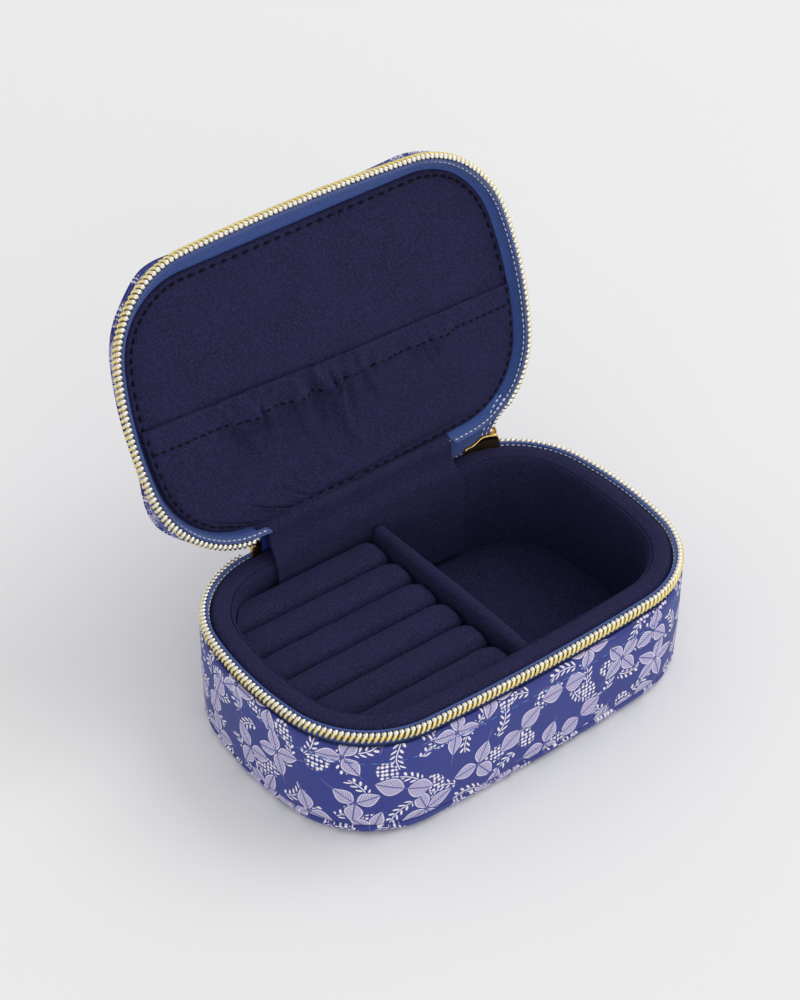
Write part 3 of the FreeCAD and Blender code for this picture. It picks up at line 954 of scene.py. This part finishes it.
def ring_rolls():
    """Stuffed rolls, a little square in section, which taper where they meet the divider."""
    sides = 28
    lengths = 40
    taper = 0.13
    swell = 0.24
    ripple_height = 0.1
    upright = Matrix.Rotation(math.pi / 2, 4, "Y")
    names = sorted(name for name in frame["nodes"] if name.startswith("ring_roll"))
    for index, name in enumerate(names):
        low, high = node_box(name)
        middle = (low.y + high.y) / 2
        radius = (high.y - low.y) / 2
        rise = high.z - low.z
        bm = bmesh.new()
        ring = bmesh.ops.create_circle(bm, segments=sides, radius=1, matrix=upright)
        geom = list({edge for vert in ring["verts"] for edge in vert.link_edges})
        rows = [list(ring["verts"])]
        for _ in range(lengths):
            made = bmesh.ops.extrude_edge_only(bm, edges=geom)
            verts = [item for item in made["geom"] if isinstance(item, bmesh.types.BMVert)]
            geom = [item for item in made["geom"] if isinstance(item, bmesh.types.BMEdge)]
            bmesh.ops.translate(bm, vec=(1, 0, 0), verts=verts)
            rows.append(verts)
        for row, verts in enumerate(rows):
            share = row / lengths
            end = 1.0
            if share > 1 - taper:
                end = math.sqrt(max(0.0, 1 - ((share - 1 + taper) / taper) ** 2)) * 0.75 + 0.25
            for vert in verts:
                across, up = vert.co.y, vert.co.z
                squareness = 1.0 + swell * abs(across * up)
                y = middle + across * radius * squareness * (0.35 + 0.65 * end)
                centre = low.z + rise - radius
                z = centre + up * radius * squareness * end
                if up < 0:
                    z = max(z, low.z) - (radius * 0.2 * -up)
                z = max(z, low.z + 0.05)
                left = -wall_x(y, inner_inset + 0.35)
                x = left + (high.x - left) * share
                ripple = ripple_height * math.sin(0.55 * x + 2.1 * index) * max(up, 0)
                vert.co = Vector((x, y, z + ripple))
        bmesh.ops.holes_fill(bm, edges=rim_edges(bm), sides=0)
        outward(bm)
        obj = piece(name + "_pad", bm, suede, "base", [name])


def pad_block():
    low, high = node_box("ring_pad_block")
    bm = soft_box(low + Vector((4, 4, 0)), high, (8, 8, 2), 1.2)
    obj = piece("ring_pad_foam", bm, foam, "base", ["ring_pad_block"])


# Lid lining

def lid_lining():
    inset = panel_inset
    stitch = inset + panel_stitch_inset
    profile = [(inset + 0.3, panel_level + panel_thickness), (inset, panel_level + 1.4),
               (inset + 0.06, panel_level + 0.5), (inset + 0.35, panel_level + 0.1),
               (inset + 0.8, panel_level - 0.05), (stitch - 0.5, panel_level - 0.08),
               (stitch, panel_level + 0.14), (stitch + 0.5, panel_level - 0.08),
               (inset + 8.0, panel_level - 0.15)]
    bm = sweep(profile)
    fill_flat(bm, panel_level - 0.15)
    fill_flat(bm, panel_level + panel_thickness)
    outward(bm)
    set_on_open_lid(bm, panel_draw_front, panel_draw_left)
    piece("lid_lining", bm, suede, "lid", ["lid_inner_panel"])
    places = facing_down(wall_stitches(stitch, panel_level - 0.2, panel_stitch_pitch, 0, track_total))
    for point, _, _ in places:
        if point.y > pocket_edge:
            point.z -= pocket_cloth + 0.4
    stitches = stitch_row(places, panel_stitch_length, panel_thread)
    set_on_open_lid(stitches, panel_draw_front, panel_draw_left)
    piece("lid_lining_stitch", stitches, navy_thread, "lid")


def lid_foam():
    low = 42.9
    high = 44.3
    inset = 4.2
    bm = sweep([(inset, low), (inset - 0.2, (low + high) / 2), (inset + 0.8, high)])
    fill_flat(bm, low)
    fill_flat(bm, high)
    outward(bm)
    set_on_open_lid(bm)
    obj = piece("lid_padding", bm, foam, "lid", ["lid_foam_pad"])


def gravity_in_lid():
    """The pull of gravity as the open lid feels it, in the shut lid's axes."""
    return Matrix.Rotation(open_angle, 3, "X") @ Vector((0, 0, -9.81))


def settle_cloth(bm, held, floor_level):
    """Let a sheet settle on the lining, with some of its corners held.

    It is simulated at twenty times its size, with gravity cut down until it no longer sags off the lining.
    """
    grow = 20 * MM
    steps = 24
    slab_height = 30
    scene = bpy.context.scene
    bmesh.ops.scale(bm, vec=(grow, grow, grow), verts=bm.verts)
    mesh = bpy.data.meshes.new("cloth")
    bm.to_mesh(mesh)
    cloth_obj = bpy.data.objects.new("cloth", mesh)
    slab_bm = bmesh.new()
    middle = Matrix.Translation((0, 0, (floor_level + slab_height / 2) * grow))
    size = Matrix.Diagonal((4, 3, slab_height * grow, 1))
    bmesh.ops.create_cube(slab_bm, size=1, matrix=middle @ size)
    slab_mesh = bpy.data.meshes.new("slab")
    slab_bm.to_mesh(slab_mesh)
    slab_bm.free()
    slab = bpy.data.objects.new("slab", slab_mesh)
    for obj in (cloth_obj, slab):
        scene.collection.objects.link(obj)
    slab.modifiers.new("collision", "COLLISION")
    slab.collision.thickness_outer = 0.2 * grow
    pins = cloth_obj.vertex_groups.new(name="pins")
    pins.add(held, 1.0, "REPLACE")
    sim = cloth_obj.modifiers.new("cloth", "CLOTH")
    sim.settings.quality = 6
    sim.settings.mass = 0.25
    sim.settings.tension_stiffness = 12
    sim.settings.compression_stiffness = 12
    sim.settings.bending_stiffness = 0.05
    sim.settings.vertex_group_mass = "pins"
    sim.settings.effector_weights.gravity = 0.015
    sim.collision_settings.distance_min = 0.35 * grow
    sim.collision_settings.use_self_collision = True
    sim.collision_settings.self_distance_min = 0.3 * grow
    sim.point_cache.frame_start = 1
    sim.point_cache.frame_end = steps
    old_gravity = scene.gravity.copy()
    scene.gravity = gravity_in_lid()
    for step in range(1, steps + 1):
        scene.frame_set(step)
    settled = cloth_obj.evaluated_get(bpy.context.evaluated_depsgraph_get()).to_mesh()
    places = [vert.co / grow for vert in settled.vertices]
    scene.gravity = old_gravity
    scene.frame_set(1)
    for obj, data in ((cloth_obj, mesh), (slab, slab_mesh)):
        bpy.data.objects.remove(obj)
        bpy.data.meshes.remove(data)
    bm.verts.ensure_lookup_table()
    for vert, spot in zip(bm.verts, places):
        vert.co = spot


def pocket():
    """Gathered pocket over the half of the lining nearer the hinge, sewn down at its sides and foot."""
    random.seed(11)
    inset = panel_inset + 0.9
    top_edge = pocket_edge
    hem = 5.6
    lie = 0.35
    held_side = 0.96
    held_foot = 0.945
    columns = 150
    rows = 40
    back = half_depth - inset
    fold_limits = ((-32, 36), (0.8, 1.7), (0.9, 2.3), (2.5, 9), (-0.5, 0.5))
    # Each fold has a place along the hem, a width, a height, a length and a lean
    folds = [[random.uniform(*limits) for limits in fold_limits] for _ in range(32)]
    bm = bmesh.new()
    bmesh.ops.create_grid(bm, x_segments=columns, y_segments=rows, size=1)
    bm.verts.index_update()
    bm.verts.ensure_lookup_table()
    held = []
    for vert in bm.verts:
        across, down = vert.co.x, (vert.co.y + 1) / 2
        sag = 1.6 * across
        y = top_edge + sag * (1 - down) + (back - top_edge - sag) * down
        reach = wall_x(y, inset)
        x = across * reach
        depth = (back - top_edge) * down
        full = smooth((1 - abs(across)) / 0.35) * smooth((1 - down) / 0.4)
        below = depth - hem
        wave = sum(high * math.exp(-((x - place - lean * below) / wide) ** 2 - abs(below) / long)
                   for place, wide, high, long, lean in folds)
        lift = lie + full * (0.5 + wave)
        if depth < hem:
            lift = lie + (lift - lie) * (0.45 + 0.55 * depth / hem)
        vert.co = Vector((x, y, panel_level - 0.2 - lift))
        if abs(across) > held_side or down > held_foot:
            held.append(vert.index)
    settle_cloth(bm, held, panel_level - 0.15)
    step = (back - top_edge) / rows
    covered = sum(2 * wall_x(top_edge + step * (row + 0.5), inset) * step for row in range(rows))
    places = []
    for column in range(2, columns - 1, 3):
        row = round(rows * hem / (back - top_edge))
        index = row * (columns + 1) + column
        first, second = bm.verts[index], bm.verts[index + 1]
        along = (second.co - first.co).normalized()
        out = first.normal if first.normal.z < 0 else -first.normal
        side = (out - along * out.dot(along)).normalized()
        places.append(((first.co + second.co) / 2 + side * 0.5, side, along))
    stitches = stitch_row(places, casing_stitch_length, casing_thread)
    swing_open(stitches)
    piece("lid_pocket_stitch", stitches, navy_thread, "lid")
    bmesh.ops.solidify(bm, geom=list(bm.faces), thickness=pocket_cloth)
    outward(bm)
    swing_open(bm)
    nodes = ["lid_pocket", "lid_pocket_elastic"]
    obj = piece("lid_pocket_cloth", bm, suede, "lid", nodes, sharp=180)
    cut_width = 2 * pocket_fullness * wall_x(top_edge, inset)
    cut_width * MM
    pocket_fullness * covered * MM * MM


# Hinge

def sheet_along(path, half_width, columns, thickness):
    """A strip of cloth across X that follows (y, z) points."""
    bm = bmesh.new()
    verts = []
    for index in range(columns + 1):
        verts.append(bm.verts.new((-half_width + 2 * half_width * index / columns, *path[0])))
    geom = [bm.edges.new(pair) for pair in zip(verts, verts[1:])]
    for before, after in zip(path, path[1:]):
        made = bmesh.ops.extrude_edge_only(bm, edges=geom)
        verts = [item for item in made["geom"] if isinstance(item, bmesh.types.BMVert)]
        geom = [item for item in made["geom"] if isinstance(item, bmesh.types.BMEdge)]
        bmesh.ops.translate(bm, vec=(0, after[0] - before[0], after[1] - before[1]), verts=verts)
    bmesh.ops.solidify(bm, geom=list(bm.faces), thickness=thickness)
    outward(bm)
    return bm


def smooth_path(points, steps):
    """Points of a smooth curve through a few given points."""
    out = []
    padded_points = [points[0]] + list(points) + [points[-1]]
    for index in range(1, len(padded_points) - 2):
        a, b, c, d = (Vector(p) for p in padded_points[index - 1:index + 3])
        for step in range(steps):
            t = step / steps
            bend = 2 * a - 5 * b + 4 * c - d
            twist = 3 * b - a - 3 * c + d
            spot = 0.5 * (2 * b + (c - a) * t + bend * t * t + twist * t ** 3)
            out.append((spot.x, spot.y))
    out.append(tuple(points[-1]))
    return out


def hinge():
    """Suede lining that hangs from the lid into the tray, and the plain leather strip behind it."""
    tail_room = 2.4
    low, _ = node_box("hinge_gusset")
    front = low.y + 0.4
    tuck = swung(0, half_depth - panel_inset - 0.8, panel_level + 0.7)
    lip = swung(0, half_depth - panel_inset - 0.2, panel_level - 0.2)
    path = smooth_path([(front, low.z), (front, 20.0), (front + 0.05, zip_height - 6.0),
                        (front + 0.9, zip_height - 0.6), (front + 3.0, zip_height + 4.0),
                        (lip.y - 1.1, lip.z - 1.2), (lip.y, lip.z), (tuck.y, tuck.z)], 8)
    bm = sheet_along(path, gusset_half_width, 60, gusset_cloth)
    for vert in bm.verts:
        level = smooth((vert.co.z - zip_height + 4) / 8)
        bow = 0.9 - vert.co.x ** 2 / (2 * long_radius)
        vert.co.y += bow * (1 - level)
        vert.co.x -= tail_room * level * smooth(vert.co.x / gusset_half_width)
    obj = piece("hinge_lining", bm, suede, None, ["hinge_gusset"])
    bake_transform(obj, "base", "lid", start=(0, (front + 0.6) * MM, (zip_height - 1.0) * MM),
             end=(0, lip.y * MM, lip.z * MM))

    foot = node_box("hinge_strip")[0].z
    lid_end = swung(0, hinge_y, hinge_z + 2.9)
    lid_mid = swung(0, hinge_y, hinge_z + 1.6)
    path = smooth_path([(hinge_y, foot), (hinge_y, zip_height), (hinge_y, hinge_z - 1.6),
                        (hinge_y + 0.35, hinge_z - 0.7), (lid_mid.y, lid_mid.z), (lid_end.y, lid_end.z)], 8)
    bm = sheet_along(path, strip_half_width, 40, strip_leather)
    obj = piece("hinge_leather", bm, plain_leather, None, ["hinge_strip"])
    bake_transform(obj, "base", "lid", start=(0, hinge_y * MM, (hinge_z - 1.9) * MM),
             end=(0, lid_mid.y * MM, lid_mid.z * MM))


# Slider

def bent_plate(radius, length, thickness, bevel, low_edge, high_edge):
    """A rounded plate bent to the track's corner; its edges are heights that change along its length."""
    bm = bmesh.new()
    bmesh.ops.create_grid(bm, x_segments=18, y_segments=5, size=0.5)
    for vert in bm.verts:
        along = vert.co.x + 0.5
        low = low_edge(along)
        high = high_edge(along)
        vert.co = Vector((vert.co.x * length, -thickness / 2, low + (high - low) * (vert.co.y + 0.5)))
    outward(bm)
    bmesh.ops.solidify(bm, geom=list(bm.faces), thickness=thickness)
    outward(bm)
    corners = [edge for edge in bm.edges if len(edge.link_faces) == 2 and edge.calc_face_angle() > 1.0]
    bmesh.ops.bevel(bm, geom=corners, offset=bevel, segments=3, profile=0.5, affect="EDGES", material=-1)
    for vert in bm.verts:
        turn = vert.co.x / radius
        reach = radius + vert.co.y
        vert.co = Vector((reach * math.sin(turn), reach * math.cos(turn), vert.co.z + zip_height))
    return bm


def round_ends(share):
    """1 along a plate, and down to 0 at its two ends."""
    return math.sqrt(max(0.0, 1 - (2 * abs(share - 0.5)) ** 8))


def plate_top(share):
    """The slider plate's upper edge: low at the narrow end, humped at the wide end, with round ends."""
    return (1.3 + 2.3 * smooth((share - 0.18) / 0.4)) * (0.35 + 0.65 * round_ends(share))


def plate_foot(share):
    return -3.5 * (0.6 + 0.4 * round_ends(share))


def on_track(bm, angle):
    """Carry a piece that is made at the top of the corner's circle to its place on the track."""
    bmesh.ops.rotate(bm, cent=(0, 0, 0), matrix=Matrix.Rotation(-angle, 3, "Z"), verts=bm.verts)
    bmesh.ops.translate(bm, vec=(corner_x, corner_y, 0), verts=bm.verts)


def join(target, *others):
    """Add other meshes to one."""
    for other in others:
        spare = bpy.data.meshes.new("spare")
        other.to_mesh(spare)
        other.free()
        target.from_mesh(spare)
        bpy.data.meshes.remove(spare)
    return target


def slider():
    angle = math.radians(17.0)
    span = 2 * math.radians(12.5)
    plate = 1.1
    plates = [bent_plate(radius, radius * span, plate, 0.4, plate_foot, plate_top) for radius in (23.5, 27.7)]
    web = soft_box((3.6, 23.4, zip_height - 0.25), (5.4, 27.4, zip_height + 0.25), (1, 1, 1), 0.1)
    crown_y = 30.6
    crown_z = zip_height + 1.0
    half_crown = 3.2
    half_bar = 0.55
    post = 1.0
    bar = soft_box((-half_crown, crown_y - half_bar, crown_z - half_bar),
                   (half_crown, crown_y + half_bar, crown_z + half_bar), (1, 1, 1), 0.2)
    posts = [soft_box((x, 27.6, crown_z - half_bar), (x + post, crown_y, crown_z + half_bar), (1, 1, 1), 0.2)
             for x in (-half_crown, half_crown - post)]
    bm = join(*plates, web, bar, *posts)
    on_track(bm, angle)
    outward(bm)
    piece("slider_body", bm, brass, "slider", ["zip_slider"])

    half_tab = 2.5
    half_thick = 0.6
    tab_top = crown_z - 1.8
    tab_foot = crown_z - 22.0
    eye_radius = 1.45
    eye_wire = 0.42
    tab = soft_box((-half_tab, crown_y - half_thick, tab_foot), (half_tab, crown_y + half_thick, tab_top),
                   (1, 1, 1), 0.5)
    eye = bmesh.new()
    place = Matrix.Translation((0, eye_radius, 0))
    ring = bmesh.ops.create_circle(eye, segments=8, radius=eye_wire, matrix=place)
    edges = list({edge for vert in ring["verts"] for edge in vert.link_edges})
    bmesh.ops.spin(eye, geom=list(ring["verts"]) + edges, cent=(0, 0, 0), axis=(1, 0, 0), angle=2 * math.pi,
                   steps=28, use_merge=True)
    bmesh.ops.scale(eye, vec=(3.4, 1, 1), verts=eye.verts)
    bmesh.ops.translate(eye, vec=(0, crown_y, crown_z), verts=eye.verts)
    bm = join(tab, eye)
    on_track(bm, angle)
    outward(bm)
    piece("slider_pull", bm, brass, "pull", ["zip_pull"])


def end_stop():
    """Brass clip that closes the zip's left end, beside the hinge."""
    point, out, along = track_point(back_place(zip_left + 1.7), stop_inset, zip_height + 0.4)
    corner = Vector((stop_length, stop_depth, stop_height)) / 2
    bm = soft_box(-corner, corner, (1, 1, 1), 0.35)
    turn = Matrix((along, out, Vector((0, 0, 1)))).transposed()
    bmesh.ops.transform(bm, matrix=Matrix.Translation(point) @ turn.to_4x4(), verts=bm.verts)
    piece("zip_stop", bm, brass, "base", ["zip_end_stop"])


# Where the upper zip half runs down from the lid to the slider

def curve(points, share):
    """A point of the smooth curve that three points control."""
    a, b, c = points
    return a * (1 - share) ** 2 + b * (2 * share * (1 - share)) + c * share ** 2


def lid_track(x, inset, z):
    """A place on the open lid's wall, given as on the shut lid."""
    point, _, _ = track_point(back_place(x), inset, z)
    return swung(*point)


def zip_tail():
    """Tape, teeth and sewing between the lid's edge and the slider, which bend when the lid moves."""
    rows = 10
    columns = 24
    tail_x = 40.0
    tail_thickness = 0.4
    slider_mouth, _, _ = track_point(back_place(43.0), 2.2, zip_height + 1.0)
    tooth_edge = (lid_track(lid_zip_right, tape_inset, zip_height + 0.6),
                  lid_track(42.5, tape_inset, zip_height + 1.5), slider_mouth)
    sewn_edge = (lid_track(lid_zip_right, 5.6, 37.9), lid_track(31.0, 6.0, 37.6),
                 Vector((29.0, 36.3, zip_height - 1.0)))
    bm = bmesh.new()
    layer = bm.loops.layers.uv.new("UVMap")
    bmesh.ops.create_grid(bm, x_segments=columns, y_segments=rows, size=0.5)
    for vert in bm.verts:
        share, across = vert.co.x + 0.5, vert.co.y + 0.5
        vert.co = curve(sewn_edge, share).lerp(curve(tooth_edge, share), across)
    for face in bm.faces:
        for loop in face.loops:
            loop[layer].uv = (loop.vert.co.x, loop.vert.co.z)
    teeth = bmesh.new()
    bars = bmesh.new()
    sewing = []
    count = int((tooth_edge[2] - tooth_edge[0]).length * 0.95 / tooth_pitch)
    for index in range(count):
        share = 0.88 * (index + 0.5) / count
        point = curve(tooth_edge, share)
        along = (curve(tooth_edge, share + 0.02) - curve(tooth_edge, share - 0.02)).normalized()
        down = point - curve(sewn_edge, share)
        down = (down - along * down.dot(along)).normalized()
        side = along.cross(down)
        turn = Matrix((along, down, side)).transposed().to_4x4()
        head_size = Matrix.Diagonal((head_along, head_up, head_out, 1))
        bar_size = Matrix.Diagonal((0.45, 1.0, 0.45, 1))
        head = Matrix.Translation(point + down * 0.5 - side * 0.5) @ turn @ head_size
        bar = Matrix.Translation(point - side * 1.1) @ turn @ bar_size
        bmesh.ops.create_icosphere(teeth, subdivisions=2, radius=1, matrix=head)
        bmesh.ops.create_icosphere(bars, subdivisions=2, radius=1, matrix=bar)
        for away in (1.1, 2.4):
            sewing.append((point - down * away + side * 0.25, side, along))
    start = (tail_x * MM, 36.0 * MM, (zip_height + 1.0) * MM)
    end = (tail_x * MM, 33.0 * MM, 43.0 * MM)
    bmesh.ops.solidify(bm, geom=list(bm.faces), thickness=tail_thickness)
    outward(bm)
    stitches = stitch_row(sewing, tail_stitch_length, tape_thread)
    parts = (("lid_zip_tail_tape", bm, twill, "zip_tape"), ("lid_zip_tail_heads", teeth, silver, "zip_coil"),
             ("lid_zip_tail_coil", bars, gold, "zip_coil"),
             ("lid_zip_tail_sewing", stitches, white_thread, "zip_tape"))
    for name, made, finish, slot in parts:
        obj = piece(name, made, finish, None)
        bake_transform(obj, "base", "lid", start=start, end=end)


# Nodes that keep their own shape

def dress_nodes():
    for name in ("base_wall_board", "base_floor_board"):
        mesh = frame["nodes"][name].data
        mesh.materials.clear()
        mesh.materials.append(grey_board)


base_shell()
lid_shell()
base_tape_line = [(tape_inset, 20.4), (tape_inset, zip_height - 0.55)]
lid_tape_line = [(tape_inset, zip_height + 0.55), (tape_inset + 0.05, 35.4), (tape_inset + 0.5, 36.6),
                 (3.4, 37.6), (5.6, 38.2), (10.0, 38.6)]
zip_half("base_zip", zip_height, 1, base_tape_line, back_place(zip_right + 2), back_place(zip_left),
         back_place(zip_right), back_place(-hinge_half_width), "base", ["base_zip_tape", "base_zip_coil"])
zip_half("lid_zip", zip_height, -1, lid_tape_line, back_place(lid_zip_right), back_place(zip_left),
         back_place(hinge_half_width - 1), back_place(-gusset_half_width - 0.2), "lid",
         ["lid_zip_tape", "lid_zip_coil"])
tray()
divider()
ring_rolls()
pad_block()
lid_lining()
lid_foam()
pocket()
hinge()
slider()
end_stop()
zip_tail()
dress_nodes()


# Floor, light and camera

def floor():
    bm = bmesh.new()
    bmesh.ops.create_grid(bm, x_segments=1, y_segments=1, size=3)
    mesh = bpy.data.meshes.new("floor")
    bm.to_mesh(mesh)
    bm.free()
    made, tree, shader = material("pale_paper")
    spot = add(tree, "ShaderNodeTexCoord").outputs["Object"]
    tone = add(tree, "ShaderNodeTexNoise", {"Vector": spot, "Scale": 1.5}).outputs[0]
    colour = coats(tree, linear("#e5e5e5"), (tone, linear("#ebebeb")))
    tree.links.new(colour, shader.inputs["Base Color"])
    shader.inputs["Roughness"].default_value = 0.9
    shader.inputs["Specular IOR Level"].default_value = 0.1
    mesh.materials.append(made)
    obj = bpy.data.objects.new("floor", mesh)
    bpy.context.scene.collection.objects.link(obj)


def lamp(name, place, target, size, power):
    data = bpy.data.lights.new(name, "AREA")
    data.size = size
    data.energy = power
    obj = bpy.data.objects.new(name, data)
    obj.location = place
    aim = Vector(target) - Vector(place)
    obj.rotation_euler = aim.to_track_quat("-Z", "Y").to_euler()
    bpy.context.scene.collection.objects.link(obj)


def studio():
    world = bpy.data.worlds.new("studio")
    bpy.context.scene.world = world
    world.use_nodes = True
    back = world.node_tree.nodes["Background"]
    back.inputs[0].default_value = linear("#f4f4f5")
    back.inputs[1].default_value = 0.88
    middle = (0, 0, 0.04)
    lamp("key_softbox", (1.9, -0.5, 2.3), middle, 2.2, 29)
    lamp("low_fill_softbox", (-1.2, -2.8, 0.9), middle, 2.4, 18)


def camera():
    """Camera fitted to the photograph's rims: angles in degrees, distance in millimetres."""
    focal_pixels = 2365.9
    image_height = 1000
    azimuth = math.radians(-38.34)
    elevation = math.radians(39.10)
    roll = math.radians(0.345)
    distance = 628.3
    target = Vector((19.55, 42.77, 20.0))
    data = bpy.data.cameras.new("camera")
    data.sensor_fit = "VERTICAL"
    data.sensor_height = 36.0
    data.lens = data.sensor_height * focal_pixels / image_height
    obj = bpy.data.objects.new("camera", data)
    back = Vector((math.sin(azimuth) * math.cos(elevation), -math.cos(azimuth) * math.cos(elevation),
                   math.sin(elevation)))
    right = (-back).cross(Vector((0, 0, 1))).normalized()
    up = right.cross(-back)
    level = right * math.cos(roll) + up * math.sin(roll)
    upright = up * math.cos(roll) - right * math.sin(roll)
    turn = Matrix((level, upright, back)).transposed().to_4x4()
    obj.matrix_world = Matrix.Translation((target + back * distance) * MM) @ turn
    bpy.context.scene.collection.objects.link(obj)
    bpy.context.scene.camera = obj


floor()
studio()
camera()
bpy.context.scene.view_settings.view_transform = "Standard"
